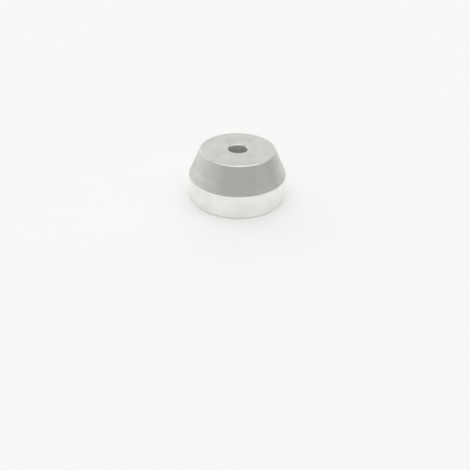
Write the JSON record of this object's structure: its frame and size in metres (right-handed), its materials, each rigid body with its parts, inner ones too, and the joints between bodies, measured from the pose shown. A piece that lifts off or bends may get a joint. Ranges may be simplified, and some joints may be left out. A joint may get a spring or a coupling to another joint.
{
  "type": "record spindle adapter",
  "caption": "Turned metal centring adapter: a straight round wall under a lead-in cone, on a flat foot, with a spindle bore through its middle.",
  "frame": {"origin": "centre of the flat foot, on the bore's axis", "axes": "+Z along the bore's axis, from the foot to the top face; X and Y lie in the foot's plane"},
  "size_m": [0.038, 0.038, 0.0197],
  "materials": {
    "turned_aluminium": "satin top face and cone, polished straight wall"
  },
  "bodies": {
    "root": {"adapter_body": "turned_aluminium"}
  },
  "joints": []
}
